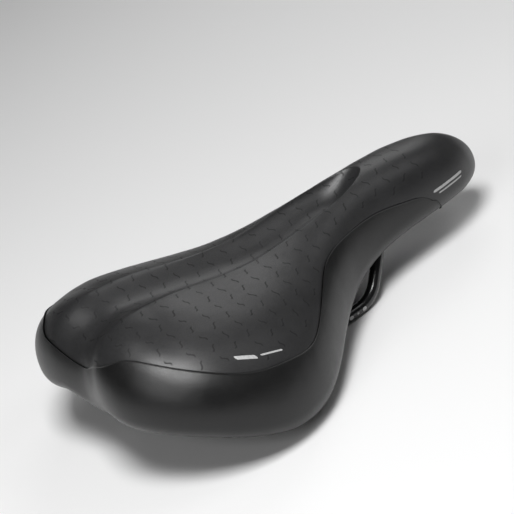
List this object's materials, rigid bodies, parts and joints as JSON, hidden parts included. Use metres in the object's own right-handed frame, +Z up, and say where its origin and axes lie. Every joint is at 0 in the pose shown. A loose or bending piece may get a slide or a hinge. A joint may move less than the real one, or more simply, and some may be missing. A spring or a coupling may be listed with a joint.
{
  "type": "bicycle saddle",
  "caption": "Padded bicycle saddle with a relief channel, gel wings, a ribbed plastic shell and a pair of bent steel rails for a seat post clamp.",
  "frame": {"origin": "middle of the straight stretch of the two rails, halfway between their axes, where a seat post clamps them", "axes": "+X to the nose along the rails, +Y to the rider's left, +Z up"},
  "size_m": [0.2793, 0.1752, 0.08],
  "materials": {
    "cover_top": "soft black synthetic leather with a fine grain and embossed dashes",
    "cover_skirt": "plain black synthetic leather with a fine grain, slightly glossier",
    "foam": "charcoal moulded polyurethane foam",
    "gel": "translucent soft gel",
    "shell_plastic": "black injection-moulded polypropylene, fine spark texture",
    "rail_paint": "gloss black painted steel rod",
    "zinc_steel": "zinc-plated pressed steel"
  },
  "bodies": {
    "root": {"cover_top_panel": "cover_top", "cover_skirt_panel": "cover_skirt", "foam_pad": "foam", "gel_insert_left": "gel", "gel_insert_right": "gel", "base_shell": "shell_plastic", "rails": "rail_paint", "nose_clip": "zinc_steel", "nose_screw_rear": "zinc_steel", "nose_screw_front": "zinc_steel"}
  },
  "joints": []
}
